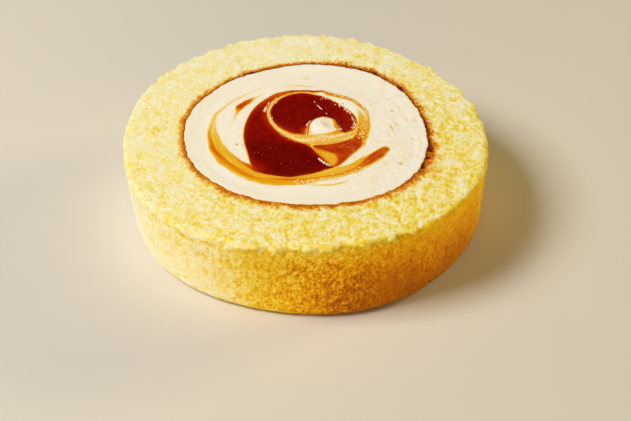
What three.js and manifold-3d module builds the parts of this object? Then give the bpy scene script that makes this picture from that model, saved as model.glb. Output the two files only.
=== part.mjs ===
// Pudding roll cake: one slice of a rolled sponge, lying on its cut face.
// A thick ring of open-crumbed sponge holds whipped cream. Caramel is folded through
// the cream: a dark crescent that curls round a dark pool, with a ridge of cream
// between them and a soft lump of cream pushed into the pool.
// Millimetres, +Z up. Plan points are measured from the middle of the upper cut face,
// with the front of the slice toward -Y.

import * as THREE from 'three';
import { mergeVertices } from 'three/addons/utils/BufferGeometryUtils.js';
import { ImprovedNoise } from 'three/addons/math/ImprovedNoise.js';
import Module from 'manifold-3d';

// Driving dimensions
const HEIGHT = 22; // thickness of the slice, from cut face to cut face
const TOP_RADIUS = 46; // mean radius of the upper cut face
const BASE_RADIUS = 43.8; // mean radius of the lower one: the wall leans in downward
const FILLING_RADIUS = 30.6; // mean radius of the cream
const CLEARANCE = 0.3; // gap between neighbouring pieces
const CREAM_DROP = 0.5; // the cream's face lies this far below the sponge's
const CARAMEL_DROP = 0.5; // and the caramel's this far below the cream's
const CRUMB_DEPTH = 0.4; // relief of the torn crumb, each way
const LUMP_SIZE = 5.5; // spacing of its larger lumps
const GRAIN_SIZE = 2.6; // and of the grains on them
const SEGMENTS = 132; // steps round the sponge
const RIM_ROUND = 0.3; // rounding of the caramel's rim

// Outlines in plan: a mean radius round a middle, with slow waves that make the slice
// uneven. A wave has its count round the outline, its depth, and the angle of a crest.
const TOP_OUTLINE = {
  middle: new THREE.Vector2(-0.1, 0.3),
  radius: TOP_RADIUS,
  waves: [[2, 1.1, 68], [3, 0.8, -17], [4, 0.4, -35], [5, 0.3, 15]],
};
const BASE_OUTLINE = {
  middle: new THREE.Vector2(0.4, 0.3),
  radius: BASE_RADIUS,
  waves: [[2, 0.4, -50], [3, 0.2, 20], [4, 0.2, -21], [5, 0.5, 6]],
};
const FILLING_OUTLINE = {
  middle: new THREE.Vector2(0.7, 1.6),
  radius: FILLING_RADIUS,
  waves: [[2, 0.5, 61], [3, 0.6, -44], [4, 0.3, -35]],
};

// The cream rises in a ridge round the pool, which is roughly an ellipse, and in a lump
// that is pushed into it from the near side.
const RIDGE = {
  middle: new THREE.Vector2(2, 9.6),
  halfWidth: 11.4,
  halfDepth: 10.2,
  height: 0.4,
  spread: 1.6,
};
const LUMP = { middle: new THREE.Vector2(4.7, 5), radius: 3.8, height: 0.9 };

// Outlines of the caramel, each as two sides that meet at blunt ends. The crescent's run
// from its thin upper tip, out round the left and back along the ridge. The pool's run
// from the lump's right foot round the far rim to its left foot, and back over the lump.
const CRESCENT_SIDES = [
  [
    [-3.6, 20], [-8, 18.1], [-12, 13.2], [-14.3, 6.5], [-14.8, -0.5], [-13.6, -7.5],
    [-11.6, -14.6], [-7.5, -16.6], [-3, -17], [2, -15.3], [7.2, -12.6],
  ],
  [
    [6, -11.6], [3.7, -8], [1, -4.1], [-3.6, -1.6], [-7.4, 2.1], [-9.6, 6.8],
    [-9.7, 11.4], [-7.8, 16], [-4.4, 18.9],
  ],
];
const POOL_SIDES = [
  [
    [10, 1.8], [12.2, 3.8], [12.6, 7.6], [11.1, 11.4], [7.8, 15.2], [4, 18], [-0.6, 18.8],
    [-5, 16.9], [-7.9, 13], [-8.4, 8.4], [-6.4, 3.8], [-2.8, 0.8],
  ],
  [
    [0.4, 0.7], [1, 4.6], [2.4, 7.7], [4.9, 9], [7.2, 7.9], [8.6, 5], [9, 2.6],
  ],
];

const degrees = THREE.MathUtils.degToRad;
const blend = THREE.MathUtils.lerp;
const ease = THREE.MathUtils.smoothstep;
const crumbNoise = new ImprovedNoise();

// Distance from an outline's middle to its edge, toward an angle.
function reach(outline, angle) {
  return outline.waves.reduce(
    (radius, [count, depth, crest]) => radius + depth * Math.cos(count * (angle - degrees(crest))),
    outline.radius,
  );
}

// Point of an outline toward an angle.
function edge(outline, angle, margin = 0) {
  const radius = reach(outline, angle) + margin;
  return new THREE.Vector2(Math.cos(angle), Math.sin(angle)).multiplyScalar(radius).add(outline.middle);
}

// Height of the torn crumb at a point: lumps, with finer grains on them.
function crumb(x, y, z) {
  const noise = (size, seed) => crumbNoise.noise(x / size + seed, y / size, z / size);
  return CRUMB_DEPTH * (1.2 * noise(LUMP_SIZE, 0.3) + 1.2 * noise(GRAIN_SIZE, 17.7));
}

// Keeps only positions and joins the vertices that coincide.
function welded(geometry) {
  geometry.deleteAttribute('normal');
  geometry.deleteAttribute('uv');
  return mergeVertices(geometry, 1e-4);
}

// Turns a profile of [distance, height] pairs round the Z axis.
function turned(profile, segments) {
  const points = profile.map(([distance, height]) => new THREE.Vector2(distance, height));
  return welded(new THREE.LatheGeometry(points, segments).rotateX(Math.PI / 2));
}

// Moves every vertex of a geometry by a function of its position.
function reshaped(geometry, move) {
  const position = geometry.attributes.position;
  const point = new THREE.Vector3();
  for (let i = 0; i < position.count; i += 1) {
    move(point.fromBufferAttribute(position, i));
    position.setXYZ(i, point.x, point.y, point.z);
  }
  return geometry;
}

// The sponge: turned as a plain ring whose profile runs from 0 at the hole to 1 at the
// outer wall, then drawn out to the uneven outlines and roughened.
function spongeRing() {
  const wallRows = 8;
  const faceRows = 8;
  const baseRound = 0.1; // share of the width and of the height that rounds the foot
  const profile = [[0, 0], [0.6, 0], [1 - baseRound, 0]];
  for (const turn of [30, 60, 90]) {
    const angle = degrees(turn);
    profile.push([1 - baseRound * (1 - Math.sin(angle)), baseRound * (1 - Math.cos(angle))]);
  }
  for (let row = 1; row <= wallRows; row += 1) {
    profile.push([1, blend(baseRound, 0.97, row / wallRows)]);
  }
  for (let row = 0; row <= faceRows; row += 1) {
    profile.push([0.98 * (1 - row / faceRows), 1]);
  }
  profile.push([0, 0.5], [0, 0]);

  const ring = turned(profile.map(([across, up]) => [1 + across, up]), SEGMENTS);
  return reshaped(ring, (point) => {
    const angle = Math.atan2(point.y, point.x);
    const across = Math.hypot(point.x, point.y) - 1;
    const up = point.z;
    const inner = edge(FILLING_OUTLINE, angle, CLEARANCE);
    const outer = edge(BASE_OUTLINE, angle).lerp(edge(TOP_OUTLINE, angle), up);
    const place = inner.lerp(outer, across);
    const rough = crumb(place.x, place.y, up * HEIGHT);
    const aside = rough * ease(across, 0.9, 1) * ease(up, 0, 0.1);
    const above = rough * ease(up, 0.9, 1) * ease(across, 0, 0.15);
    point.x = place.x + aside * Math.cos(angle);
    point.y = place.y + aside * Math.sin(angle);
    point.z = up * HEIGHT + above;
  });
}

// Height of the cream's face above its level: the ridge round the pool, the lump with
// its hollow crown, and shallow strokes left by spreading.
function creamRelief(x, y) {
  const share = Math.hypot((x - RIDGE.middle.x) / RIDGE.halfWidth, (y - RIDGE.middle.y) / RIDGE.halfDepth);
  const fromRidge = (share - 1) * RIDGE.halfWidth;
  const ridge = RIDGE.height * Math.exp(-((fromRidge / RIDGE.spread) ** 2));
  const fromLump = Math.hypot(x - LUMP.middle.x, y - LUMP.middle.y) / LUMP.radius;
  const lump = LUMP.height * (ease(1.3 - fromLump, 0, 1) - 0.5 * ease(0.5 - fromLump, 0, 0.5));
  const strokes = 0.2 * crumbNoise.noise(x / 9, y / 5, 0.5);
  return ridge + lump + strokes;
}

// The cream, whole: a disc that fills the sponge's hole, its face in rings of facets
// that close up over the swirl.
function creamDisc() {
  const faceRings = 16;
  const profile = [[0, 0], [1, 0], [1, 0.5], [1, 1]];
  for (let ring = faceRings - 1; ring > 0; ring -= 1) {
    profile.push([ring / faceRings, 1]);
  }
  profile.push([0, 1]);
  const disc = turned(profile, 72);
  return reshaped(disc, (point) => {
    const angle = Math.atan2(point.y, point.x);
    const share = Math.hypot(point.x, point.y);
    const place = edge(FILLING_OUTLINE, angle).sub(FILLING_OUTLINE.middle);
    place.multiplyScalar(share).add(FILLING_OUTLINE.middle);
    const level = HEIGHT - CREAM_DROP + creamRelief(place.x, place.y);
    point.set(place.x, place.y, point.z * level);
  });
}

// Outline of a patch of caramel: a smooth curve through each of its two sides.
function patchOutline(sides) {
  const stepsPerPoint = 4;
  return sides.flatMap((side) => {
    const points = side.map(([x, y]) => new THREE.Vector2(x, y));
    return new THREE.SplineCurve(points).getPoints((side.length - 1) * stepsPerPoint);
  });
}

// An outline that runs counterclockwise, moved outward by a margin with mitred corners.
function widened(points, margin) {
  const outward = (from, to) => {
    const along = to.clone().sub(from).normalize();
    return new THREE.Vector2(along.y, -along.x);
  };
  const moved = points.map((point, i) => {
    const before = outward(points[(i + points.length - 1) % points.length], point);
    const after = outward(point, points[(i + 1) % points.length]);
    const mitre = margin / (1 + before.dot(after));
    return before.add(after).multiplyScalar(mitre).add(point);
  });
  return new THREE.Shape(moved);
}

// A prism of caramel through the slice, its rim rounded as a thick sauce's edge is.
function caramelPrism(outline) {
  const prism = new THREE.ExtrudeGeometry(new THREE.Shape(outline), {
    depth: HEIGHT - CREAM_DROP - CARAMEL_DROP - 2 * RIM_ROUND,
    curveSegments: 1,
    bevelThickness: RIM_ROUND,
    bevelSize: RIM_ROUND,
    bevelOffset: -RIM_ROUND,
    bevelSegments: 2,
  });
  return welded(prism.translate(0, 0, RIM_ROUND));
}

// The space that a prism of caramel takes out of the cream.
function caramelSpace(outline) {
  const past = 2;
  const space = new THREE.ExtrudeGeometry(widened(outline, CLEARANCE), {
    depth: HEIGHT + 2 * past,
    curveSegments: 1,
    bevelEnabled: false,
  });
  return welded(space.translate(0, 0, -past));
}

// Solids for cutting, and back to a geometry.
const wasm = await Module();
wasm.setup();

function solid(geometry) {
  return new wasm.Manifold(new wasm.Mesh({
    numProp: 3,
    vertProperties: new Float32Array(geometry.attributes.position.array),
    triVerts: new Uint32Array(geometry.index.array),
  }));
}

function toGeometry(manifold) {
  const { numProp, vertProperties, triVerts } = manifold.getMesh();
  const positions = new Float32Array((vertProperties.length / numProp) * 3);
  for (let i = 0; i < positions.length / 3; i += 1) {
    positions.set(vertProperties.subarray(i * numProp, i * numProp + 3), i * 3);
  }
  const geometry = new THREE.BufferGeometry();
  geometry.setAttribute('position', new THREE.BufferAttribute(positions, 3));
  geometry.setIndex(new THREE.BufferAttribute(new Uint32Array(triVerts), 1));
  return geometry;
}

// The cream with the caramel's places cut through it.
function cutCream() {
  const spaces = [CRESCENT_SIDES, POOL_SIDES].map((sides) => solid(caramelSpace(patchOutline(sides))));
  return toGeometry(spaces.reduce((cream, space) => cream.subtract(space), solid(creamDisc())));
}

function piece(name, geometry, colour, roughness) {
  geometry.computeVertexNormals();
  const material = new THREE.MeshStandardMaterial({ color: colour, roughness, metalness: 0 });
  const mesh = new THREE.Mesh(geometry, material);
  mesh.name = name;
  return mesh;
}

const cake = new THREE.Group();
cake.add(
  piece('sponge', spongeRing(), 0xf3dc7c, 0.9),
  piece('cream', cutCream(), 0xf5ecdb, 0.55),
  piece('caramel_crescent', caramelPrism(patchOutline(CRESCENT_SIDES)), 0x6e0c02, 0.15),
  piece('caramel_pool', caramelPrism(patchOutline(POOL_SIDES)), 0x5c0602, 0.15),
);

// The origin is at the middle of the slice's box, at its foot.
const middle = new THREE.Box3().setFromObject(cake).getCenter(new THREE.Vector3());
cake.position.set(-middle.x, -middle.y, 0);

export default cake;
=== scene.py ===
"""Pudding roll cake: how the slice looks.

A slice of rolled sponge lies on its cut face. The sponge ring, the whipped cream and the
two dark patches of caramel each replace the plain solid that has their place. They share
one plan: millimetres from the middle of the upper cut face, with the front toward -Y.
"""

import math

import bmesh
import bpy
import numpy as np
from mathutils import Euler, Matrix, Vector, noise


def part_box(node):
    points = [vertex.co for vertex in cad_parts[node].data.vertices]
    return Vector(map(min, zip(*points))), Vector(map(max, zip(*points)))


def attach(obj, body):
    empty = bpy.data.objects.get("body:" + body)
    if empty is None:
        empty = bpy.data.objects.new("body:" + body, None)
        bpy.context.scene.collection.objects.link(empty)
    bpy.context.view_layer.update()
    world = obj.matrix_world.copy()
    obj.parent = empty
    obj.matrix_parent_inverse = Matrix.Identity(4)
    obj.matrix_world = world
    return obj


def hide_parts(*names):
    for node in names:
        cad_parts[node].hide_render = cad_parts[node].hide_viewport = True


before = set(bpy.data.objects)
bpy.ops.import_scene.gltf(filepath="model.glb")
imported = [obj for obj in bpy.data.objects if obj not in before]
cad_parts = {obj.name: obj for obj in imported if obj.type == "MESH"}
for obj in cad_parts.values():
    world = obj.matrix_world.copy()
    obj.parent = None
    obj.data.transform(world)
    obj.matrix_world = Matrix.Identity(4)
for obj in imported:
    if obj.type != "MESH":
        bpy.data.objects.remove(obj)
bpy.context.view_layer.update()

MM = 0.001

# Driving dimensions, in millimetres
CREAM_DROP = 0.5  # the cream's face lies this far below the sponge's
CARAMEL_DROP = 0.5  # and the caramel's this far below the cream's
CARAMEL_LIP = 0.05  # the caramel's edge stands this far above the cream's
CREAM_FOOT = 0.15  # the cream's lower face lies this far above the table
CARAMEL_FOOT = 0.05  # and the caramel's this far
SAUCE_BED = 1.6  # depth of the hollows in the cream that hold the dark patches
FILM_THICKNESS = 0.08  # of the thin sauce where it is strongest
RIM_ROUND = 1.3  # rounding of the sponge's upper rim
FOOT_ROUND = 2.2  # rounding of its foot
CRUMB_DEPTH = 0.32  # relief of the torn crumb, each way
POOL_RIGHT = 12.6  # plan places of the caramel pool's rightmost and furthest points
POOL_FURTHEST = 18.8

# Outlines in plan: middle, mean radius, and slow waves round it, each with its count,
# its depth and the angle of a crest.
TOP_OUTLINE = ((-0.1, 0.3), 46, ((2, 1.1, 68), (3, 0.8, -17), (4, 0.4, -35), (5, 0.3, 15)))
BASE_OUTLINE = ((0.4, 0.3), 43.8, ((2, 0.4, -50), (3, 0.2, 20), (4, 0.2, -21), (5, 0.5, 6)))
FILLING_OUTLINE = ((0.7, 1.6), 30.6, ((2, 0.5, 61), (3, 0.6, -44), (4, 0.3, -35)))

# The place of the plan in the frame, read from the pool's solid.
_, pool_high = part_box("caramel_pool")
FACE = pool_high.z / MM + CREAM_DROP + CARAMEL_DROP
PLAN_ORIGIN = np.array([pool_high.x / MM - POOL_RIGHT, pool_high.y / MM - POOL_FURTHEST, 0])


# Numbers

def ease(value, low, high):
    """0 below low, 1 above high, and a smooth step between them."""
    share = np.clip((value - low) / (high - low), 0, 1)
    return share * share * (3 - 2 * share)


def spline(points, steps):
    """A Catmull-Rom curve through rows of numbers, with that many steps from row to row."""
    rows = np.array(points, float)
    rows = np.vstack([2 * rows[0] - rows[1], rows, 2 * rows[-1] - rows[-2]])
    share = np.arange(steps)[:, None] / steps
    parts = []
    for a, b, c, d in zip(rows, rows[1:], rows[2:], rows[3:]):
        bend = (2 * a - 5 * b + 4 * c - d) * share**2 + (3 * b - a - 3 * c + d) * share**3
        parts.append(b + 0.5 * ((c - a) * share + bend))
    return np.vstack(parts + [rows[-2:-1]])


def perlin(points, size, seed):
    """Smooth noise of that size in millimetres, about -1 to 1."""
    shift = Vector((seed * 11.3, seed * 5.7, seed * 7.9))
    return np.array([noise.noise(Vector(p) / size + shift) for p in points])


def flattened(points):
    """Points with their height left out."""
    return np.column_stack([points[:, :2], np.zeros(len(points))])


def outline_point(outline, angle, margin=0):
    """Points of an outline toward an array of angles."""
    (middle_x, middle_y), radius, waves = outline
    reach = radius + margin
    for count, depth, crest in waves:
        reach = reach + depth * np.cos(count * (angle - math.radians(crest)))
    return np.stack([middle_x + reach * np.cos(angle), middle_y + reach * np.sin(angle)], -1)


def to_path(points, path):
    """For each point: its distance to a path, minus on its right, and the path's row there.
    The row's last number is the length of the path up to there."""
    start, step = path[:-1], np.diff(path, axis=0)
    stride = np.hypot(step[:, 0], step[:, 1])
    reached = np.concatenate([[0], np.cumsum(stride)])[:-1]
    distances, rows = [], []
    for block in np.array_split(points[:, :2], len(points) // 20000 + 1):
        offset = block[:, None] - start[None, :, :2]
        share = (offset * step[None, :, :2]).sum(2) / np.maximum(stride**2, 1e-12)
        share = np.clip(share, 0, 1)
        gap = offset - share[..., None] * step[None, :, :2]
        square = (gap**2).sum(2)
        best = square.argmin(1)
        pick = np.arange(len(block)), best
        row = start[best] + share[pick][:, None] * step[best]
        rows.append(np.column_stack([row, reached[best] + share[pick] * stride[best]]))
        left = step[best, 0] * gap[pick][:, 1] - step[best, 1] * gap[pick][:, 0]
        distances.append(np.sqrt(square[pick]) * np.where(left < 0, -1, 1))
    return np.concatenate(distances), np.vstack(rows)


def inset(points, outline):
    """Distance of points inside a closed outline, negative outside it."""
    closed = np.vstack([outline, outline[:1]])
    distance = np.abs(to_path(points, closed)[0])
    x, y = points[:, 0], points[:, 1]
    inside = np.zeros(len(points), bool)
    for (x1, y1), (x2, y2) in zip(closed[:, :2], closed[1:, :2]):
        if y1 != y2:
            crosses = (y1 > y) != (y2 > y)
            inside ^= crosses & (x < (x2 - x1) * (y - y1) / (y2 - y1) + x1)
    return np.where(inside, distance, -distance)


# The caramel's plan

# The two sides of each dark patch, as in the solids: the crescent's from its thin upper
# tip, the pool's from the right foot of the lump of cream.
CRESCENT_SIDES = (
    (
        (-3.6, 20), (-8, 18.1), (-12, 13.2), (-14.3, 6.5), (-14.8, -0.5), (-13.6, -7.5),
        (-11.6, -14.6), (-7.5, -16.6), (-3, -17), (2, -15.3), (7.2, -12.6),
    ),
    (
        (-4.4, 18.9), (-7.8, 16), (-9.6, 11.4), (-9.5, 6.8), (-7.3, 2.1), (-3.6, -1.5),
        (1, -4), (3.7, -8), (6, -11.8),
    ),
)
POOL_SIDES = (
    (
        (10, 1.8), (12.2, 3.8), (12.6, 7.6), (11.1, 11.4), (7.8, 15.2), (4, 18), (-0.6, 18.8),
        (-5, 17), (-7.9, 13.2), (-8.5, 8.4), (-6.4, 3.7), (-2.8, 0.6),
    ),
    (
        (9, 2.4), (8.5, 4.6), (7.3, 7.8), (5, 9), (2.5, 7.9), (1, 4.8), (0.5, 0.6),
    ),
)

# Thin sauce drawn through the cream. A stroke has rows of x, y, half its width, and its
# strength from 0, none, to 1, as dark as the patches.
STROKES = (
    # broad pale streak, from its tip on the right round the front to the left and back
    (
        (19.9, -4.3, 1.1, 0.24), (17.6, -7.3, 1.5, 0.22), (14.8, -10.1, 1.8, 0.17),
        (12, -12.6, 1.8, 0.16), (8, -14.9, 1.9, 0.15), (4, -16.5, 1.9, 0.16), (0, -18, 1.9, 0.18),
        (-5, -18.7, 1.9, 0.2), (-10, -18.1, 1.9, 0.17), (-14, -15.9, 1.9, 0.17),
        (-18, -12, 2.1, 0.16), (-20.6, -8, 2, 0.15), (-22.2, -3, 1.5, 0.13),
        (-22.9, 1.5, 1.1, 0.12), (-23, 4.5, 0.7, 0.12), (-22.2, 8.5, 0.4, 0.12),
        (-20.6, 11.8, 0.3, 0.1), (-18.3, 15, 0.25, 0.08), (-14.5, 19, 0.22, 0.06),
        (-10.5, 21.8, 0.15, 0.04),
    ),
    # darker lines in it
    (
        (19.6, -4.7, 1.1, 0.46), (18.2, -6.6, 1.5, 0.5), (16.4, -8.9, 1.4, 0.48),
        (14.3, -11.2, 0.9, 0.4), (12, -13.2, 0.6, 0.34), (9, -15.2, 0.5, 0.32),
        (5, -16.6, 0.4, 0.3), (0, -18, 0.5, 0.35), (-4, -18.4, 0.5, 0.36), (-8, -18, 0.45, 0.3),
    ),
    (
        (-6, -19.2, 0.4, 0.28), (-12, -17.6, 0.7, 0.33), (-16, -14.6, 0.9, 0.34),
        (-19.5, -10.9, 0.9, 0.33), (-21.9, -7.2, 0.8, 0.36), (-23, -3.5, 0.6, 0.32),
        (-23.6, 0.5, 0.35, 0.26), (-23.3, 4, 0.25, 0.18),
    ),
    # thin line that leaves the crescent's lower corner
    (
        (-10.6, -15, 1, 0.66), (-12.5, -13.6, 0.8, 0.5), (-14.5, -12.2, 0.55, 0.4),
        (-16.5, -10.2, 0.35, 0.32), (-18.3, -7.6, 0.25, 0.26), (-20, -4.5, 0.22, 0.2),
        (-21.3, -1.2, 0.22, 0.18), (-22.2, 2, 0.25, 0.14),
    ),
    # small patch at the upper left, with its two tails
    (
        (-10.2, 18.9, 0.12, 0.06), (-11.6, 18.3, 0.18, 0.1), (-13, 17, 0.3, 0.16),
        (-14, 15.6, 0.6, 0.4), (-15.3, 13.9, 0.8, 0.48), (-16.6, 12, 0.85, 0.5),
        (-17, 10.2, 0.45, 0.22), (-17.8, 7.5, 0.25, 0.07), (-18.4, 4, 0.15, 0.03),
    ),
    # the crescent's tail over the pool, and the line that goes on from it
    (
        (-5, 19.2, 0.6, 0.6), (-1.5, 19.9, 0.5, 0.58), (2, 20.1, 0.5, 0.6), (4.3, 20.3, 0.45, 0.58),
        (6, 19.3, 0.5, 0.48), (8, 18.3, 0.6, 0.42), (10, 17.7, 0.6, 0.42), (12, 16.5, 0.5, 0.42),
        (13.8, 14.5, 0.4, 0.4), (15.1, 12, 0.35, 0.34), (15.7, 9, 0.35, 0.24), (15.7, 5, 0.4, 0.22),
        (15.3, 1, 0.4, 0.22), (14.5, -2.5, 0.35, 0.2),
    ),
    # frothy band beside it
    (
        (13.4, 11.5, 0.35, 0.1), (14.2, 8, 0.9, 0.18), (14.3, 5, 1.2, 0.26), (14, 2, 1.3, 0.34),
        (13.2, -0.5, 1.4, 0.42),
    ),
    # tint on the left of the ridge, between it and the pool, and on its near side
    ((-9, 11, 0.35, 0.07), (-8.8, 6, 0.5, 0.1), (-6.4, 2.4, 0.5, 0.1), (-3, -0.3, 0.6, 0.08)),
    (
        (-6.8, 3.4, 0.3, 0.1), (-4.6, 1.3, 0.4, 0.14), (-2, -0.1, 0.6, 0.18),
        (0.6, -0.2, 0.8, 0.16), (2.6, 0.2, 0.7, 0.12), (5, 0.9, 0.5, 0.1), (8, 1.4, 0.4, 0.1),
    ),
    (
        (-1.5, -0.9, 0.5, 0.05), (1.5, -1.3, 1, 0.07), (5, -1.6, 1.1, 0.08), (8, -0.9, 1.1, 0.11),
        (10.3, 0.5, 0.9, 0.13), (12.6, 2.8, 0.6, 0.12),
    ),
    # tint along the crescent's upper lip
    (
        (-9, 7, 0.3, 0.07), (-6.9, 2.5, 0.4, 0.1), (-3.3, -1.1, 0.45, 0.16), (-1, -2.4, 0.5, 0.2),
        (1.2, -3.5, 0.5, 0.3),
    ),
    # tint where the ridge meets the film
    (
        (-1.6, -1.9, 0.35, 0.08), (1.4, -2.7, 0.5, 0.14), (4, -2.5, 0.6, 0.18), (7, -1.9, 0.5, 0.2),
        (9.5, -1, 0.4, 0.2),
    ),
    # tint down the right side of the lump, and between it and the ridge
    ((6.4, 9, 0.3, 0.2), (7.4, 7, 0.5, 0.34), (7.9, 5.2, 0.6, 0.34), (8.2, 3.4, 0.4, 0.28)),
    ((4.4, 0.7, 0.3, 0.12), (6.4, 1, 0.6, 0.2), (8.2, 1.9, 0.8, 0.28), (9.8, 3, 0.5, 0.24)),
    ((0.9, 5.2, 0.2, 0.05), (1.1, 3, 0.3, 0.1), (1.4, 1.2, 0.5, 0.07)),
    # tint on the far left of the ridge
    (
        (-9.2, 10, 0.25, 0.05), (-8.6, 13.4, 0.3, 0.1), (-6.7, 16.7, 0.35, 0.22),
        (-3.5, 18.9, 0.3, 0.4),
    ),
    # faint lines behind, on the right and in front
    (
        (-6.2, 22.1, 0.1, 0.03), (-4.1, 22.9, 0.3, 0.06), (-0.5, 23.1, 0.45, 0.07),
        (3, 22.2, 0.2, 0.03),
    ),
    ((-1.1, 26.2, 0.15, 0.05), (0, 26.6, 0.25, 0.09), (1.2, 26.7, 0.15, 0.05)),
    ((27.8, 2, 0.1, 0.02), (28.7, -1.5, 0.4, 0.04), (28, -4.5, 0.1, 0.02)),
    ((15.5, -14, 0.1, 0.02), (19.5, -10.6, 0.3, 0.04), (22.6, -7.8, 0.1, 0.02)),
    ((2, -20, 0.2, 0.12), (5, -20.1, 0.22, 0.18), (8, -19.4, 0.25, 0.2), (10.6, -18.1, 0.15, 0.1)),
)
# The film between the patches, and the paler streak that crosses it.
FILM = (
    (1.8, -3.7), (5, -3), (8, -2.2), (10, -1.3), (12, 0), (13.6, 1), (14.4, -1), (13.9, -3.5),
    (12.8, -5.6), (11.4, -7.6), (10, -9.6), (8.4, -12), (6.4, -12.4), (3.4, -7.6),
)
FILM_STRENGTH = 0.54
PALE_STREAK = (
    (2, -4.6), (5, -5.5), (7.4, -6.6), (8.3, -8.3), (8.2, -10.6), (7.5, -12.4), (6.2, -12),
    (3.6, -8), (1.8, -5.4),
)
PALE_STRENGTH = 0.2


def patch_outline(sides, steps=8):
    """The closed outline of a dark patch."""
    out, back = (spline(side, steps) for side in sides)
    return np.vstack([out, back[::-1]])


def wobbled(points, depth, size, seed):
    """Plan points moved a little aside by noise, so that what is drawn there runs unevenly."""
    flat = flattened(points)
    aside = np.column_stack([perlin(flat, size, seed), perlin(flat, size, seed + 1)])
    return points[:, :2] + depth * aside


def sauce(points, inside_dark):
    """Strength of the thin sauce at plan points, from 0, none, to 1. Needs their distance
    inside the dark patches, whose sauce soaks a little into the cream round them."""
    place = wobbled(points, 0.22, 2.2, 3)
    mottle = 1 + 0.22 * perlin(flattened(place), 1.3, 6)
    found = 0.6 * ease(inside_dark, -0.55, 0.05)

    def soak(inside, strength):
        """Lets in sauce that thins out across its edge."""
        np.maximum(found, strength * ease(inside, -0.35, 0.4), out=found)

    for stroke in STROKES:
        path = spline(stroke, 6)
        margin = path[:, 2].max() + 1
        low, high = path[:, :2].min(0) - margin, path[:, :2].max(0) + margin
        near = np.all((place > low) & (place < high), 1)
        if not near.any():
            continue
        aside, row = to_path(place[near], path)
        inside = np.full(len(points), -1.0)
        strength = np.zeros(len(points))
        inside[near] = row[:, 2] - np.abs(aside)
        # it was drawn out along its way, so it is finely striped that way
        stripes = perlin(np.column_stack([aside / 0.42, row[:, 4] / 7, np.zeros(len(aside))]), 1, 5)
        strength[near] = row[:, 3] * (1 + (0.75 - row[:, 3]) * stripes)
        soak(inside, strength)
    soak(inset(place, spline(FILM + FILM[:1], 6)[:-1]), FILM_STRENGTH * mottle)
    deep = inset(place, spline(PALE_STREAK + PALE_STREAK[:1], 6)[:-1])
    pale = ease(deep, -0.3, 0.7)
    return found * (1 - pale) + PALE_STRENGTH * mottle * (1.3 - 0.5 * ease(deep, 0, 1.4)) * pale


CRESCENT = patch_outline(CRESCENT_SIDES)
POOL = patch_outline(POOL_SIDES)


# The cream's face

RIDGE = ((2, 9.6), (11.4, 10.2), 0.35, 1.6)  # middle, half sizes, height, spread
LUMP = ((4.6, 4.8), 3.8, 1.0)  # middle, radius, height
LUMP_HOLLOW = ((6.2, 5.2), 2.0, 0.8)  # middle, radius, depth
# the small holes are painted olive inside as shade; the last one lies in the lump's hollow
PITS = (  # small holes: x, y, radius, depth
    (-16.5, -4, 0.7, 0.4), (21.9, 12.8, 0.7, 0.35), (21.4, 6, 0.5, 0.35), (21.6, 5.3, 0.5, 0.35),
    (21.8, 4.7, 0.5, 0.35), (22, 4, 0.5, 0.4), (22.8, 7.3, 0.4, 0.5), (23.5, -10.1, 1, 0.3),
    (16.6, 15.1, 0.5, 0.25), (26.8, 0.5, 0.6, 0.25), (21.1, 18.1, 0.5, 0.2), (23.3, 6.4, 1, 0.14),
    (27.3, 8.1, 1.2, 0.14), (24.7, -3.7, 0.6, 0.15), (26.3, -6.7, 0.7, 0.15), (19.1, 3, 0.5, 0.15),
    (-20, 14, 0.4, 0.2), (18, 22, 0.4, 0.2), (-3, 26, 0.4, 0.2), (11, -23, 0.4, 0.2),
    (-25, 6, 0.4, 0.2), (5.9, 5.4, 1.2, 0.14),
)


def hole_depth(points, holes, flank):
    """Depth of round holes at plan points. The flank is the sloping share of a radius."""
    depth = np.zeros(len(points))
    for x, y, radius, deepest in holes:
        away = np.hypot(points[:, 0] - x, points[:, 1] - y)
        depth += deepest * ease(1 - away / radius, 0, flank)
    return depth


def pit_depth(points):
    """Depth of the small holes in the cream."""
    return hole_depth(points, PITS, 0.7)


def cream_height(points):
    """Height of the cream's face in millimetres, without the hollows under the patches."""
    x, y = points[:, 0], points[:, 1]
    (ridge_x, ridge_y), (half_width, half_depth), height, spread = RIDGE
    share = np.hypot((x - ridge_x) / half_width, (y - ridge_y) / half_depth)
    ridge = height * np.exp(-(((share - 1) * half_width / spread) ** 2))
    (lump_x, lump_y), radius, height = LUMP
    lump = height * ease(1.25 - np.hypot(x - lump_x, y - lump_y) / radius, 0, 1)
    (hollow_x, hollow_y), radius, depth = LUMP_HOLLOW
    hollow = depth * ease(1.2 - np.hypot(x - hollow_x, y - hollow_y) / radius, 0, 1)

    # spreading strokes run round the middle, so their noise is drawn in turned coordinates
    (middle_x, middle_y), _, _ = FILLING_OUTLINE
    radius = np.hypot(x - middle_x, y - middle_y)
    angle = np.arctan2(y - middle_y, x - middle_x)
    turned = np.column_stack([radius / 2.3, 3 * np.cos(angle), 3 * np.sin(angle) + radius / 7])
    strokes = 0.17 * perlin(turned, 1, 7) + 0.09 * perlin(turned * (2.4, 2, 2), 1, 8)
    flat = flattened(points)
    strokes *= 0.6 + 0.6 * perlin(flat, 8, 12)
    torn = 0.05 + 0.08 * ease(x - 0.3 * y, 10, 22)
    swell = 0.22 * perlin(flat, 9, 9) + torn * perlin(flat, 1.2, 10)
    return FACE - CREAM_DROP + ridge + lump - hollow + strokes + swell - 0.35 * pit_depth(points)


# Meshes

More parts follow.
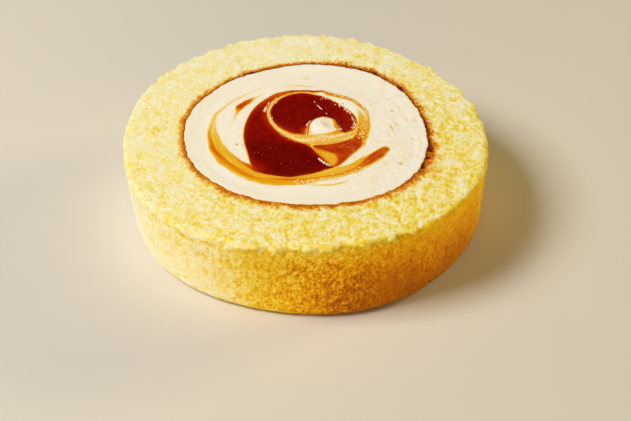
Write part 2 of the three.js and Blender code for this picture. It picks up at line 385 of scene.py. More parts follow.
def new_piece(name, points, faces, material, replaced, slot_name, normals=None, **attributes):
    """A smooth mesh in the frame from plan points, with named numbers on its vertices."""
    mesh = bpy.data.meshes.new(name)
    mesh.from_pydata(((points + PLAN_ORIGIN) * MM).tolist(), [], [list(face) for face in faces])
    mesh.validate()
    mesh.shade_smooth()
    for key, values in attributes.items():
        layer = mesh.attributes.new(key, "FLOAT", "POINT")
        layer.data.foreach_set("value", np.asarray(values, np.float32))
    if normals is not None:
        mesh.normals_split_custom_set_from_vertices(normals.tolist())
    mesh.materials.append(material)
    piece = bpy.data.objects.new(name, mesh)
    bpy.context.scene.collection.objects.link(piece)
    if replaced:
        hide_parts(*replaced)
    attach(piece, "root")


def grid_faces(rows, columns, close_columns=True):
    """Quads of a grid of vertices, row by row, facing the same way."""
    index = np.arange(rows * columns).reshape(rows, columns)
    if close_columns:
        index = np.hstack([index, index[:, :1]])
    corners = index[:-1, :-1], index[:-1, 1:], index[1:, 1:], index[1:, :-1]
    return np.stack([c.ravel() for c in corners], -1)


def grid_normals(grid):
    """Unit normals of a grid of points that closes on itself both ways."""
    down = np.roll(grid, -1, 0) - np.roll(grid, 1, 0)
    along = np.roll(grid, -1, 1) - np.roll(grid, 1, 1)
    normal = np.cross(along, down)
    return normal / np.maximum(np.linalg.norm(normal, axis=2, keepdims=True), 1e-9)


# The sponge

SPONGE_COLUMNS = 1080
BASE_ROWS = 44
FACE_ROWS = 78
WALL_ROWS = 76
FACE_WIDTH = 15.4  # usual width of the ring's face
# the front right is the side away from the light, so the wall's gold there is partly painted shade
FRONT_RIGHT = -40  # where the wall is most golden, in degrees round the cake
SKIN = (  # degrees round the filling, width of the browned skin there, and how dark it is
    (-180, 1.3, 0.05), (-150, 1.5, 0.15), (-120, 1.8, 0.3), (-90, 1.8, 0.35), (-60, 1.8, 0.35),
    (-42, 1.8, 0.45), (-32, 2.4, 0.5), (-26, 2.8, 0.8), (-20, 2.4, 0.7), (-12, 2.6, 0.9),
    (-5, 2.1, 0.8), (8, 1.6, 0.7), (25, 1.4, 0.5), (38, 1.3, 0.5), (41, 1.8, 0.9),
    (45, 1.4, 0.6), (52, 1.7, 0.8), (72, 1.7, 0.85), (80, 1.2, 0.6), (95, 1.0, 0.4),
    (114, 1.0, 0.4), (120, 1.4, 0.8), (127, 1.1, 0.4), (150, 1.2, 0.15), (180, 1.3, 0.05),
)
# the browned skin is also painted darker in these hollows, as shade
CAVITIES = (  # hollows in the browned skin: x, y, radius, depth
    (30.8, -1.5, 1, 0.2), (31, -4.8, 1.4, 0.4), (30.2, -8, 1.1, 0.25), (28.6, -12, 1.3, 0.35),
    (31.4, 3.5, 1, 0.2), (24.2, 22.1, 0.9, 0.4), (25.4, 22, 0.8, 0.35), (29, 14.5, 1, 0.2),
    (-14, 27.4, 1.1, 0.4), (-15.6, 26.6, 0.8, 0.3), (17.6, 29, 1, 0.4), (12, 31, 0.9, 0.2),
)


def toward(angle, degrees):
    """1 at that place round the cake, falling to -1 at its far side."""
    return np.cos(angle - math.radians(degrees))[None]


def on_right(angle):
    """1 on the right of the cake, where the wall is smoother, and 0 elsewhere."""
    return ease(toward(angle, -30), 0.5, 0.95)


def filling_edge(angle):
    """The ragged line where the sponge meets the cream."""
    ring = FILLING_OUTLINE[1] * np.stack([np.cos(angle), np.sin(angle), 0 * angle], -1)
    ragged = 0.3 * perlin(ring, 3.7, 51) + 0.25 * perlin(ring, 1.3, 52)
    ragged = ragged + 0.12 * perlin(ring, 0.7, 53)
    return outline_point(FILLING_OUTLINE, angle, ragged)


def sponge_section():
    """Rows of the ring's section, each its share of the way from the hole to the wall and
    its height: underside, foot, wall, rim, face and the hole's side. Also the number of
    the row where the rim starts, and of the last row that shows in the hole."""
    quarter = np.radians(np.linspace(0, 90, 8))
    rows = [(share, 0.0) for share in np.linspace(0, 0.84, BASE_ROWS)]
    for turn in quarter:
        across = 1 - FOOT_ROUND * (1 - math.sin(turn)) / FACE_WIDTH
        rows.append((across, FOOT_ROUND * (1 - math.cos(turn))))
    wall_top = FACE - RIM_ROUND
    rows += [(1.0, height) for height in np.linspace(FOOT_ROUND, wall_top, WALL_ROWS)[1:]]
    rim_start = len(rows) - 1
    for turn in quarter[1:]:
        across = 1 - RIM_ROUND * (1 - math.cos(turn)) / FACE_WIDTH
        rows.append((across, wall_top + RIM_ROUND * math.sin(turn)))
    face_start = 1 - RIM_ROUND / FACE_WIDTH
    rows += [(share, FACE) for share in np.linspace(face_start, 0.04, FACE_ROWS)[1:]]
    rows += [(0.025, FACE - 0.02), (0.012, FACE - 0.06), (0.0, FACE - 0.15), (0.0, FACE - 3)]
    hole_end = len(rows) - 1
    rows += [(0.0, FACE / 2), (0.0, 2.0)]
    return np.array(rows), rim_start, hole_end


def crumb(points):
    """Height and paleness of the torn crumb, and the speckle of its golden side, each about
    -1 to 1: swells, clumps of rounded grains and small holes between them, drawn out
    upward."""
    tall = points * (1, 0.75, 0.7)
    place = tall + 0.45 * np.column_stack([perlin(tall, 1.1, seed) for seed in (21, 22, 23)])
    swells = perlin(tall, 5, 24)
    clumps = perlin(place, 2.2, 25)
    grains = np.abs(perlin(place, 1.4, 26)) + 0.7 * np.abs(perlin(place, 0.75, 34)) - 0.4
    specks = perlin(place, 0.9, 37)
    fine = perlin(tall, 0.45, 31)
    holes = ease(perlin(place, 1.3, 27), 0.15, 0.5)
    coarse = 0.9 + 0.4 * perlin(points, 11, 30)
    height = 0.5 * swells + coarse * (0.35 * clumps + 0.9 * grains + 0.35 * fine - 0.4 * holes)
    paleness = coarse * (0.3 * clumps + 0.4 * grains + 0.5 * specks + 0.2 * fine - 0.3 * holes)
    speckle = coarse * (0.3 * clumps + 0.1 * grains + 0.6 * specks + 0.8 * fine)
    return height, paleness, speckle


def grid_noise(grid, size, seed):
    """Smooth noise on a grid of points."""
    return perlin(grid.reshape(-1, 3), size, seed).reshape(grid.shape[:2])


def sponge_grid(share, height, angle):
    """Points of the smooth ring, row by row, and their distance from the hole."""
    inner = filling_edge(angle)[None]
    lean = (height / FACE)[..., None]
    outer = (1 - lean) * outline_point(BASE_OUTLINE, angle)[None]
    outer = outer + lean * outline_point(TOP_OUTLINE, angle)[None]
    plan = inner + share[..., None] * (outer - inner)
    level = np.broadcast_to(height[..., None], plan.shape[:2] + (1,))
    from_hole = share * np.linalg.norm(outer - inner, axis=2)
    return np.concatenate([plan, level], 2), from_hole


def torn_depth(share, height, angle, rim, relief, nibbled):
    """How far the torn crumb stands out, with loose crumbs at the rim in front and behind."""
    loose = ease(height, 0, 1.6) * ease(share, -0.02, 0.04)
    uneven = 0.7 + 0.3 * toward(angle, FRONT_RIGHT)
    in_front = ease(toward(angle, -80), 0.6, 0.95)
    behind = ease(toward(angle, 80), 0, 0.7)
    loose_crumbs = 0.25 + 0.8 * in_front + 1.2 * behind
    torn = CRUMB_DEPTH * uneven * (1 + 0.2 * rim) * relief
    return loose * (torn + loose_crumbs * rim * nibbled)


def browned_skin(grid, from_hole, angle, paleness, hollow):
    """How near the browned skin is, 1 at the filling, and how dark it is."""
    places, widths, darkness = zip(*SKIN)
    degrees = np.degrees(angle)
    ragged = 1 + 0.2 * grid_noise(grid, 1.1, 31) + 0.45 * grid_noise(grid, 3, 32)
    width = np.interp(degrees, places, widths)[None] * ragged
    # painted shade: the skin is browner and darker in the cavities
    skin = 1 - from_hole / width - 0.35 * paleness + hollow + 0.45 * grid_noise(grid, 0.7, 39)
    uneven = 1 + 0.5 * grid_noise(grid, 2, 33)
    edge = ease(0.5 - from_hole, 0, 0.3) * ease(toward(angle, 0), 0.6, 0.9)
    return skin, np.interp(degrees, places, darkness)[None] * uneven + hollow + 0.6 * edge


def golden_and_shaded_wall(grid, normals, share, height, angle, nibbled):
    """Where the wall starts below the ragged rim, and how golden it is, which is partly painted
    shade.
    """
    # the pale crumb of the rim hangs down in teeth, which reach less far on the right
    teeth = 0.7 * nibbled + 0.4 * grid_noise(grid, 2.6, 35) + 0.5 * grid_noise(grid, 1.2, 36)
    lift = 1.4 * ease(toward(angle, -20), 0.7, 0.95)
    outside = ease(share, 0.8, 0.9)
    wall = 1 - ease(height + 2.4 * teeth - lift, FACE - 2.5, FACE - 0.6)
    wall = wall * ease(FACE - height, 0, 0.8) * outside
    # painted shade: the undersides of the loose crumbs, which face down into shade, are golden too
    shaded_undersides = ease(-normals[..., 2], 0, 0.4) * ease(height, FACE - 4, FACE - 1.5) * outside
    wall = np.maximum(wall, shaded_undersides)
    # the wall turns golden toward the front right: partly the outer crumb's own deeper yellow,
    # partly painted shade of the side away from the light
    front_right = toward(angle, FRONT_RIGHT)
    amount = ease(front_right, 0.05, 0.9) + 0.06 * ease(front_right, -0.4, 0.1)
    gold_and_shade = wall * np.minimum(amount, 1)
    gold_and_shade = np.maximum(gold_and_shade, 0.95 * shaded_undersides * ease(front_right, -0.3, 0.3))
    return wall, gold_and_shade


def crumb_tone(share, height, angle, rim, wall, gold_and_shade, rough, paleness, speckle):
    """Place of the crumb's colour between its darkest, 0, and its palest, 1."""
    front_right = toward(angle, FRONT_RIGHT)
    right = on_right(angle)
    pale = 1 - gold_and_shade
    below = (FACE - height) / FACE
    shade = ease(toward(angle, -50), 0.6, 1)
    plain = 0.4 * wall * ease(-front_right, -0.2, 0.6)
    near_rim = ease(share, 0.8, 0.9) * ease(front_right, 0.3, 0.8) * (1 - right)

    tone = 0.68 + pale * (0.85 + 0.25 * front_right) * (1 - plain) * paleness
    # the golden speckle; the last term is painted light that brightens the crumb where it turns
    # from pale to golden in the shade under the rim
    tone = tone + 0.8 * gold_and_shade * rough * speckle + 1.5 * gold_and_shade * pale**2
    # painted light and shade: the golden wall is lighter under the rim, where light comes through
    # the crumb, and darker toward its foot, most toward the front right
    tone = tone + gold_and_shade * 0.45 * (1 - 0.8 * right) * np.exp(-below / 0.14)
    tone = tone - 0.65 * gold_and_shade**2 * shade * below
    tone = tone + pale * wall * (0.2 * below - 0.1 * ease(front_right, -0.6, 0.1))
    # the rim and the face are yellower toward the front right, and paler behind. The rim is also
    # yellower on the right, and on the left, where it faces the light, its yellower tone is painted
    # shade that tones down its highlight
    tone = tone - pale * near_rim * (0.15 + 0.15 * ease(FACE - height, 0.1, 1.3))
    tone = tone - 0.1 * pale * rim * (ease(-front_right, -0.3, 0.5) + 1.5 * right)
    tone = tone - 0.18 * (1 - wall) * ease(front_right, -0.9, 0.7)
    return tone + 0.07 * pale * ease(toward(angle, 70), 0.3, 0.9)


def make_sponge(material):
    """The ring in three strips: the face with its rim, the wall, and the underside."""
    section, rim_start, hole_end = sponge_section()
    angle = np.linspace(-math.pi, math.pi, SPONGE_COLUMNS, endpoint=False)
    share, height = section[:, :1], section[:, 1:]
    grid, from_hole = sponge_grid(share, height, angle)
    shape = grid.shape[:2]
    points = grid.reshape(-1, 3)

    relief, paleness, speckle = (values.reshape(shape) for values in crumb(points))
    nibbled = grid_noise(grid, 3.4, 28) + 0.5 * grid_noise(grid, 1.7, 29)
    nibbled = nibbled + 0.2 * grid_noise(grid, 0.9, 38)
    hollow = hole_depth(points, CAVITIES, 0.8).reshape(shape) * (height > FACE / 2)
    rim = ease(share, 0.9, 1) * ease(height, FACE - 3, FACE)
    depth = torn_depth(share, height, angle, rim, relief, nibbled) - hollow
    moved = grid + grid_normals(grid) * depth[..., None]
    moved[..., 2] = np.maximum(moved[..., 2], 0)
    normals = grid_normals(moved)

    # numbers on the vertices, from which the material makes the colours
    skin, burn = browned_skin(grid, from_hole, angle, paleness, hollow)
    wall, gold_and_shade = golden_and_shaded_wall(grid, normals, share, height, angle, nibbled)
    rough = np.broadcast_to(1 - 0.7 * on_right(angle), shape)
    tone = crumb_tone(share, height, angle, rim, wall, gold_and_shade, rough, paleness, speckle)
    # painted shade: the bend of the rim is darkened where it faces the light, which tones down its
    # highlight
    turned = np.clip(1 - (FACE - height) / RIM_ROUND, 0, 1)
    rim_painted_shade = 1.8 * turned**2 * (1 - turned) * ease(toward(angle, -163), 0, 0.8)
    tints = {"tone": tone, "skin": skin, "burn": burn, "gold_and_shade": gold_and_shade, "rim_painted_shade": rim_painted_shade, "rough": rough}

    # neighbouring strips share their border row, so they meet without a gap
    around = np.arange(len(section))
    strips = {
        "sponge_face": around[rim_start:hole_end + 1],
        "sponge_wall": around[BASE_ROWS - 1:rim_start + 1],
        "sponge_base": np.concatenate([around[hole_end:], around[:BASE_ROWS]]),
    }
    for name, rows in strips.items():
        new_piece(
            name, moved[rows].reshape(-1, 3), grid_faces(len(rows), SPONGE_COLUMNS), material,
            ["sponge"], "sponge", normals=normals[rows].reshape(-1, 3),
            **{key: values[rows].ravel() for key, values in tints.items()},
        )


# The cream

CREAM_COLUMNS = 620
CREAM_RINGS = 138


def in_patches(points):
    """Distance inside the nearer dark patch, negative outside both."""
    return np.maximum(inset(points, CRESCENT), inset(points, POOL))


def make_cream(material):
    """The filling: its face is a round grid, hollowed where the dark patches lie."""
    angle = np.linspace(-math.pi, math.pi, CREAM_COLUMNS, endpoint=False)
    edge = filling_edge(angle)
    middle = np.array(FILLING_OUTLINE[0])
    face_shares = np.linspace(0.004, 0.985, CREAM_RINGS)
    rim_shares, side_shares, base_shares = [0.993, 0.998, 1], [1, 1], [0.998, 0.7, 0.3, 0.02]
    shares = np.concatenate([face_shares, rim_shares, side_shares, base_shares])
    plan = middle + shares[:, None, None] * (edge - middle)[None]
    flat = plan.reshape(-1, 2)
    inside = in_patches(flat)
    tint = sauce(flat, inside)
    top = cream_height(flat) + FILM_THICKNESS * ease(tint, 0.05, 0.4)
    top = top - SAUCE_BED * ease(inside, -0.06, 0.7)
    rise = np.interp(shares, [0.88, 0.98, 0.993, 1], [0, 0.42, 0.42, 0.25])[:, None]
    height = top.reshape(plan.shape[:2]) + rise
    side = CREAM_RINGS + len(rim_shares)
    height[side] = FACE / 2
    height[side + 1] = 1.0
    height[side + 2:] = CREAM_FOOT

    # each row is a ring, and one more point closes the innermost ring above and below
    count = len(flat)
    points = np.column_stack([flat, height.ravel()])
    points = np.vstack([points, [*middle, height[0].mean()], [*middle, CREAM_FOOT]])
    ring = np.arange(CREAM_COLUMNS)
    after = np.roll(ring, -1)
    last = (len(shares) - 1) * CREAM_COLUMNS
    faces = grid_faces(len(shares), CREAM_COLUMNS)[:, ::-1].tolist()
    faces += np.stack([ring, after, np.full_like(ring, count)], -1).tolist()
    faces += np.stack([last + after, last + ring, np.full_like(ring, count + 1)], -1).tolist()

    # the outermost rows touch the browned skin, and the underside is plain
    tint = np.maximum(tint, 0.36 * np.repeat(ease(shares, 0.993, 0.998), CREAM_COLUMNS))
    on_face = points[:, 2] > 0.6 * FACE
    tint = np.append(tint, [tint[:CREAM_COLUMNS].mean(), 0]) * on_face
    # painted shade in the small holes, and mottling on the right of the face
    mottle = 0.16 * ease(perlin(points, 2.6, 13), 0, 0.5) * ease(points[:, 0], 8, 18)
    speck = np.minimum(2.2 * pit_depth(points) + mottle, 1) * on_face
    new_piece("cream_filling", points, faces, material, ["cream"], "cream", sauce=tint, speck=speck)


# The caramel patches

PATCH_ROWS = 44
PATCH_COLUMNS = 190


def patch_height(points, inside):
    """Height of a dark patch: it hangs a little between the cream round it."""
    sag = CARAMEL_DROP * (1 - np.exp(-inside / 0.85))
    ripple = 0.04 * perlin(flattened(points), 2.5, 41) * ease(inside, 0, 1)
    near_edge = np.exp(-inside / 2)
    level = cream_height(points) * near_edge + (FACE - CREAM_DROP) * (1 - near_edge)
    return level + CARAMEL_LIP - sag + ripple


def along_rows(curve, place):
    """Points of a curve at places counted in its rows."""
    count = np.arange(len(curve))
    return np.stack([np.interp(place, count, column) for column in curve.T], -1)


def crowded(count):
    """Shares from 0 to 1 that lie closer together toward both ends."""
    return 0.5 - 0.5 * np.cos(np.linspace(0, math.pi, count))


def make_patch(name, sides, strength, material):
    """A dark patch, as a grid from its one side to the other."""
    curves = [spline(side, 40) for side in sides]
    edges = [along_rows(curve, crowded(PATCH_COLUMNS) * (len(curve) - 1)) for curve in curves]
    share = crowded(PATCH_ROWS)[:, None, None]
    top = ((1 - share) * edges[0][None] + share * edges[1][None]).reshape(-1, 2)
    inside = np.maximum(inset(top, patch_outline(sides)), 0)
    upper = np.column_stack([top, patch_height(top, inside)])
    lower = np.column_stack([top, np.full(len(top), CARAMEL_FOOT)])

    # the upper grid, the lower one, and a curtain round their borders
    count = PATCH_ROWS * PATCH_COLUMNS
    index = np.arange(count).reshape(PATCH_ROWS, PATCH_COLUMNS)
    border = np.concatenate([index[0, :-1], index[:-1, -1], index[-1, :0:-1], index[:0:-1, 0]])
    after = np.roll(border, -1)
    curtain = np.stack([border, after, after + count, border + count], -1)
    faces = grid_faces(PATCH_ROWS, PATCH_COLUMNS, close_columns=False)
    faces = np.vstack([faces, faces[:, ::-1] + count, curtain[:, ::-1]])
    depth = strength(top, inside) * (1 + 0.1 * perlin(flattened(top), 1.5, 42))
    points = np.vstack([upper, lower])
    new_piece(name + "_sauce", points, faces, material, [name], "caramel", sauce=np.tile(depth, 2))


def crescent_strength(top, inside):
    """Darkest in the broad foot, redder up the arm and toward the edges."""
    x, y = top[:, 0], top[:, 1]
    arm = 0.12 * ease(y, -6, 4) + 0.32 * ease(y, 8, 20)
    edge = 0.2 * np.exp(-inside / 0.8)
    corner = 0.3 * ease(6 - np.hypot(x + 12.5, y + 14), 0, 6)
    return 1 - arm - edge - corner


def pool_strength(top, inside):
    """Dark all over, thinner along the near side."""
    x, y = top[:, 0], top[:, 1]
    near_side = 0.68 * np.exp(-inside / 1.5) * ease(7.5 - y, 0, 5) * ease(6 - x, 0, 4)
    right = 0.12 * ease(x, 4, 12)
    return 0.92 - near_side - right - 0.1 * np.exp(-inside / 0.5)


# Bubbles, and near-white beads that are painted highlights: their number, the line that they lie
# along, how far they stray from it, their largest radius, and the strength of sauce that tints them
BUBBLE_AND_GLINT_LINES = (
    (130, ((5, 19.9), (9, 17.9), (12, 16.6), (14, 14.2), (15.2, 11.6), (15.6, 8)), 0.6, 0.22, 0.08),
    (110, ((15.2, 9), (14.8, 5), (14.4, 2), (14, -0.5)), 1.2, 0.2, 0.09),
    # near-white beads on the pool's far and right edges and inside it: painted highlights
    (40, ((8.4, 14.8), (10.1, 13), (11.9, 10.7)), 0.15, 0.14, 0.01),
    (40, ((12.3, 4), (12.4, 7.4), (11, 11.2), (8, 14.8), (4, 17.8)), 0.5, 0.22, 0.03),
    (26, ((2.9, 15), (3.5, 14), (4.2, 13.1)), 0.12, 0.14, 0.01),
    (5, ((5, 11.6), (5.5, 11)), 0.1, 0.16, 0.01),
    (5, ((2.2, 16.4), (2.5, 15.9)), 0.2, 0.14, 0.01),
    (10, ((8.1, 6.2), (8.8, 4.4), (8.9, 3.2)), 0.3, 0.18, 0.02),
    (24, ((4, -4), (10, -2.6), (10.5, -7)), 1.6, 0.18, 0.42),
    (
        200, ((-7.5, 15.8), (-9.2, 10), (-7.6, 4), (-3.5, 0), (2, -2), (8, -1.4), (12, 2)),
        0.7, 0.2, 0.08,
    ),
    (120, ((-3.5, 0), (2, -1), (6, -0.6), (11, 1.6)), 1.4, 0.16, 0.1),
    (90, ((-2, -19), (4, -18.4), (9, -16.6), (14, -12.6)), 1.0, 0.2, 0.02),
    (60, ((-11, 6), (-11, -4), (-7, -10), (1, -12)), 5, 0.13, 0.64),
    (30, ((-6, 6), (-2, 12), (5, 14), (9, 8)), 5, 0.13, 0.64),
    # near-white beads along the crescent's lower tip: a painted highlight
    (60, ((3.6, -8.8), (4.8, -10.5), (6.2, -12.1)), 0.2, 0.18, 0.01),
)


def make_bubbles(material):
    """Small round bubbles that stand half out of the sauce; the near-white ones are painted
    highlights.
    """
    draw = np.random.default_rng(12)
    spots = []
    for count, line, stray, largest, tint in BUBBLE_AND_GLINT_LINES:
        path = spline(line, 12)
        middle = along_rows(path, draw.uniform(0, len(path) - 1, count))
        middle += draw.normal(0, stray / 2, (count, 2))
        radius = largest * draw.uniform(0.4, 1, count)
        spots.append(np.column_stack([middle, radius, tint * draw.uniform(0.6, 1.4, count)]))
    spots = np.vstack(spots)
    inside = in_patches(spots)
    level = cream_height(spots) + FILM_THICKNESS
    level = np.where(inside > 0, patch_height(spots, np.maximum(inside, 0)), level)
    mesh = bmesh.new()
    for (x, y, radius, _), z in zip(spots, level):
        place = Matrix.Translation((x, y, z - 0.1 * radius))
        bmesh.ops.create_icosphere(mesh, subdivisions=2, radius=radius, matrix=place)
    points = np.array([vertex.co[:] for vertex in mesh.verts])
    faces = [[vertex.index for vertex in face.verts] for face in mesh.faces]
    each = len(points) // len(spots)
    mesh.free()
    tint = np.repeat(spots[:, 3], each)
    new_piece("caramel_bubbles", points, faces, material, [], "caramel", sauce=tint)


# Materials

def srgb(red, green, blue):
    """A colour seen as 0 to 255, in the linear numbers that a shader takes."""
    def linear(value):
        value /= 255
        return value / 12.92 if value <= 0.04045 else ((value + 0.055) / 1.055) ** 2.4
    return linear(red), linear(green), linear(blue), 1


def grey(value):
    return value, value, value, 1


def new_material(name):
    material = bpy.data.materials.new(name)
    material.use_nodes = True
    tree = material.node_tree
    return material, tree, tree.nodes["Principled BSDF"]


def add(tree, kind, **settings):
    node = tree.nodes.new(kind)
    for key, value in settings.items():
        setattr(node, key, value)
    return node


def attribute(tree, name):
    return add(tree, "ShaderNodeAttribute", attribute_name=name).outputs["Fac"]


def ramp(tree, source, stops):
    """A colour ramp from (position, colour) pairs."""
    node = add(tree, "ShaderNodeValToRGB")
    elements = node.color_ramp.elements
    elements.remove(elements[1])
    elements[0].position, elements[0].color = stops[0]
    for position, colour in stops[1:]:
        elements.new(position).color = colour
    tree.links.new(source, node.inputs["Fac"])
    return node.outputs["Color"]


def noise_texture(tree, scale, detail, roughness=0.5):
    """Noise over the piece, with a scale per metre."""
    place = add(tree, "ShaderNodeTexCoord").outputs["Object"]
    node = add(tree, "ShaderNodeTexNoise")
    tree.links.new(place, node.inputs["Vector"])
    node.inputs["Scale"].default_value = scale
    node.inputs["Detail"].default_value = detail
    node.inputs["Roughness"].default_value = roughness
    return node.outputs["Fac"]


def calculate(tree, operation, *values):
    node = add(tree, "ShaderNodeMath", operation=operation)
    for socket, value in zip(node.inputs, values):
        if isinstance(value, (int, float)):
            socket.default_value = value
        else:
            tree.links.new(value, socket)
    return node.outputs["Value"]


def mix(tree, factor, first, second):
    node = add(tree, "ShaderNodeMix", data_type="RGBA")
    for key, value in ((0, factor), (6, first), (7, second)):
        tree.links.new(value, node.inputs[key])
    return node.outputs[2]


def bump(tree, shader, height, distance):
    node = add(tree, "ShaderNodeBump")
    node.inputs["Distance"].default_value = distance
    tree.links.new(height, node.inputs["Height"])
    tree.links.new(node.outputs["Normal"], shader.inputs["Normal"])


CRUMB_COLOURS = (
    (0.0, srgb(236, 204, 40)), (0.25, srgb(245, 219, 88)), (0.5, srgb(250, 231, 150)),
    (0.75, srgb(253, 239, 196)), (1.0, srgb(254, 245, 224)),
)
# golden crumb of the wall, used partly as painted shade
GOLDEN_AND_SHADED_CRUMB = (
    (0.0, srgb(160, 92, 0)), (0.25, srgb(200, 117, 0)), (0.5, srgb(233, 158, 0)),
    (0.75, srgb(250, 195, 20)), (1.0, srgb(254, 222, 90)),
)
# colour of the painted shade on the bend of the rim
PAINTED_RIM_SHADE_CRUMB = ((0.0, srgb(200, 176, 104)),)
PALE_SKIN = (
    (0.0, srgb(252, 226, 110)), (0.3, srgb(248, 206, 60)), (0.5, srgb(242, 178, 26)),
    (0.7, srgb(232, 150, 14)), (0.88, srgb(212, 116, 6)), (1.0, srgb(194, 94, 4)),
)
DARK_SKIN = (
    (0.0, srgb(250, 212, 80)), (0.3, srgb(244, 188, 40)), (0.5, srgb(230, 150, 14)),
    (0.7, srgb(204, 110, 4)), (0.86, srgb(146, 56, 2)), (1.0, srgb(92, 26, 2)),
)
SAUCE_COLOURS = (
    (0.0, srgb(249, 241, 226)), (0.04, srgb(248, 230, 166)), (0.12, srgb(243, 196, 56)),
    (0.24, srgb(238, 160, 8)), (0.38, srgb(218, 106, 2)), (0.52, srgb(192, 60, 0)),
    (0.68, srgb(164, 30, 0)), (0.84, srgb(138, 11, 1)), (1.0, srgb(104, 2, 0)),
)
PIT_SHADE_AND_MOTTLE_COLOURS = ((0.0, srgb(232, 212, 130)), (1.0, srgb(204, 176, 44)))
SKIN_COVER = ((0.0, grey(0)), (0.2, grey(0.05)), (0.5, grey(0.7)), (0.62, grey(1)))
CREAM_GLOSS = ((0.0, grey(0.6)), (0.06, grey(0.3)), (0.2, grey(0.16)))
CARAMEL_GLOSS = ((0.0, grey(0.12)), (1.0, grey(0.08)))


def sponge_material():
    """Pale crumb, yellow in its holes, and browned skin along the filling."""
    material, tree, shader = new_material("sponge_crumb")
    fine = noise_texture(tree, 1500, 4, 0.6)
    broad = noise_texture(tree, 150, 3)
    grain = calculate(tree, "SUBTRACT", fine, 0.5)
    level = calculate(tree, "MULTIPLY_ADD", broad, 0.3, attribute(tree, "tone"))
    level = calculate(tree, "SUBTRACT", level, 0.15)
    gold_and_shade = attribute(tree, "gold_and_shade")
    pale_level = calculate(tree, "MULTIPLY_ADD", gold_and_shade, -1.4, level)
    pale = ramp(tree, calculate(tree, "MULTIPLY_ADD", grain, 0.4, pale_level), CRUMB_COLOURS)
    coarse = calculate(tree, "MULTIPLY", grain, attribute(tree, "rough"))
    golden_and_shaded = ramp(tree, calculate(tree, "MULTIPLY_ADD", coarse, 1.4, level), GOLDEN_AND_SHADED_CRUMB)
    colour = mix(tree, gold_and_shade, pale, golden_and_shaded)
    rim_painted_shade = attribute(tree, "rim_painted_shade")
    colour = mix(tree, rim_painted_shade, colour, ramp(tree, rim_painted_shade, PAINTED_RIM_SHADE_CRUMB))
    nearness = calculate(tree, "MULTIPLY_ADD", attribute(tree, "skin"), 0.5, 0.5)
    nearness = calculate(tree, "MULTIPLY_ADD", grain, 0.7, nearness)
    pale_skin, dark_skin = ramp(tree, nearness, PALE_SKIN), ramp(tree, nearness, DARK_SKIN)
    skin = mix(tree, attribute(tree, "burn"), pale_skin, dark_skin)
    cover = ramp(tree, nearness, SKIN_COVER)
    tree.links.new(mix(tree, cover, colour, skin), shader.inputs["Base Color"])
    shader.inputs["Roughness"].default_value = 0.9
    shader.inputs["Specular IOR Level"].default_value = 0.2
    shader.inputs["Subsurface Weight"].default_value = 0.7
    shader.inputs["Subsurface Radius"].default_value = (1.0, 0.75, 0.35)
    shader.inputs["Subsurface Scale"].default_value = 3 * MM
    bump(tree, shader, fine, 0.3 * MM)
    return material


def sauce_material(name, roughness_stops, softness, shine=0.5):
    """Cream under sauce: pale where there is none, then yellow, orange and dark red."""
    material, tree, shader = new_material(name)
    strength = attribute(tree, "sauce")
    # painted shade: olive in the cream's small holes, with its mottling
    speck = attribute(tree, "speck")
    colour = mix(tree, speck, ramp(tree, strength, SAUCE_COLOURS), ramp(tree, speck, PIT_SHADE_AND_MOTTLE_COLOURS))
    tree.links.new(colour, shader.inputs["Base Color"])
    tree.links.new(ramp(tree, strength, roughness_stops), shader.inputs["Roughness"])
    shader.inputs["Specular IOR Level"].default_value = shine
    shader.inputs["Subsurface Weight"].default_value = softness
    shader.inputs["Subsurface Radius"].default_value = (1.0, 0.8, 0.6)
    shader.inputs["Subsurface Scale"].default_value = 1.5 * MM
    bump(tree, shader, noise_texture(tree, 900, 3), 0.1 * MM)
    return material


# Studio

VIEW_ELEVATION = 34.67  # degrees above the horizon
VIEW_DISTANCE = 460  # millimetres from the middle of the upper cut face
VIEW_ROLL = 0.029  # radians
LENS = 106.2  # millimetres
SENSOR_WIDTH = 36  # millimetres
IMAGE_SIZE = (631, 421)  # pixels
FACE_MIDDLE = (304.66, 135.17)  # pixel of the middle of the upper cut face


def make_camera():
    """Looks at the slice as the photo does, with the face's middle at its pixel."""
    camera = bpy.data.objects.new("camera", bpy.data.cameras.new("camera"))
    bpy.context.scene.collection.objects.link(camera)
    camera.data.lens = LENS
    camera.data.sensor_width = SENSOR_WIDTH
    elevation = math.radians(VIEW_ELEVATION)
    back = Vector((0, -math.cos(elevation), math.sin(elevation)))
    target = Vector((PLAN_ORIGIN + (0, 0, FACE)) * MM)
    camera.location = target + back * VIEW_DISTANCE * MM
    width, height = IMAGE_SIZE
    focal_pixels = LENS / SENSOR_WIDTH * width
    aside = math.atan((FACE_MIDDLE[0] - width / 2) / focal_pixels)
    above = math.atan((height / 2 - FACE_MIDDLE[1]) / focal_pixels)
    straight = (-back).to_track_quat("-Z", "Y")
    turn = Euler((-above, aside, 0)).to_quaternion()
    roll = Euler((0, 0, VIEW_ROLL)).to_quaternion()
    camera.rotation_mode = "QUATERNION"
    camera.rotation_quaternion = straight @ roll @ turn
    bpy.context.scene.camera = camera


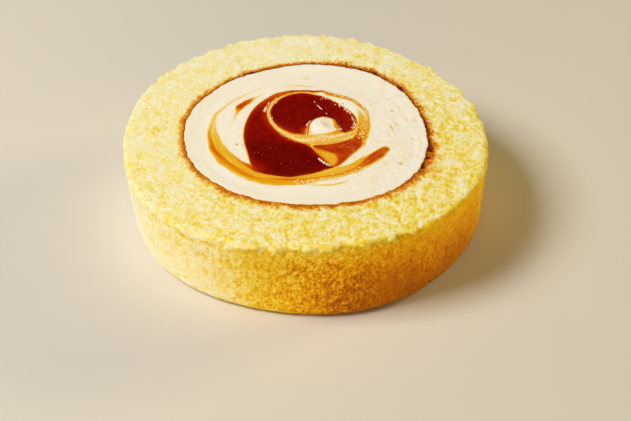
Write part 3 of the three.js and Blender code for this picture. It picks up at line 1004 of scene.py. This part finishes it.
def area_light(name, azimuth, elevation, distance, size, power, colour):
    """A soft light of that width and height aimed at the slice. Azimuth 0 is on +X and 90
    on +Y."""
    data = bpy.data.lights.new(name, "AREA")
    data.energy = power
    data.shape = "RECTANGLE"
    data.size, data.size_y = size
    data.color = colour
    lamp = bpy.data.objects.new(name, data)
    bpy.context.scene.collection.objects.link(lamp)
    a, e = math.radians(azimuth), math.radians(elevation)
    direction = Vector((math.cos(a) * math.cos(e), math.sin(a) * math.cos(e), math.sin(e)))
    lamp.location = direction * distance
    lamp.rotation_mode = "QUATERNION"
    lamp.rotation_quaternion = direction.to_track_quat("Z", "Y")
    lamp.visible_camera = False


def make_studio():
    bpy.ops.mesh.primitive_plane_add(size=6, location=(0, 0, 0))
    floor = bpy.context.object
    floor.name = "floor"
    material, _, shader = new_material("floor")
    shader.inputs["Base Color"].default_value = srgb(216, 210, 200)
    shader.inputs["Roughness"].default_value = 0.8
    floor.data.materials.append(material)

    world = bpy.data.worlds.new("world")
    world.use_nodes = True
    background = world.node_tree.nodes["Background"]
    background.inputs["Color"].default_value = (1.0, 0.8, 0.55, 1)
    background.inputs["Strength"].default_value = 0.05
    bpy.context.scene.world = world
    area_light("key", 197, 48, 1.0, (0.4, 0.4), 9.6, (1.0, 0.99, 0.98))
    area_light("fill", -86, 13, 1.2, (1.3, 0.5), 5.9, (1.0, 0.8, 0.35))
    area_light("side", 28, 18, 1.2, (0.4, 0.4), 7.6, (1.0, 0.84, 0.4))
    area_light("back", 110, 8, 1.2, (0.25, 0.25), 1.6, (1.0, 0.85, 0.55))
    bpy.context.scene.view_settings.view_transform = "Standard"


make_camera()
make_studio()
make_sponge(sponge_material())
make_cream(sauce_material("cream_and_sauce", CREAM_GLOSS, softness=0.15))
caramel = sauce_material("caramel", CARAMEL_GLOSS, softness=0, shine=0.2)
make_patch("caramel_crescent", CRESCENT_SIDES, crescent_strength, caramel)
make_patch("caramel_pool", POOL_SIDES, pool_strength, caramel)
make_bubbles(sauce_material("bubbles", CARAMEL_GLOSS, softness=0))
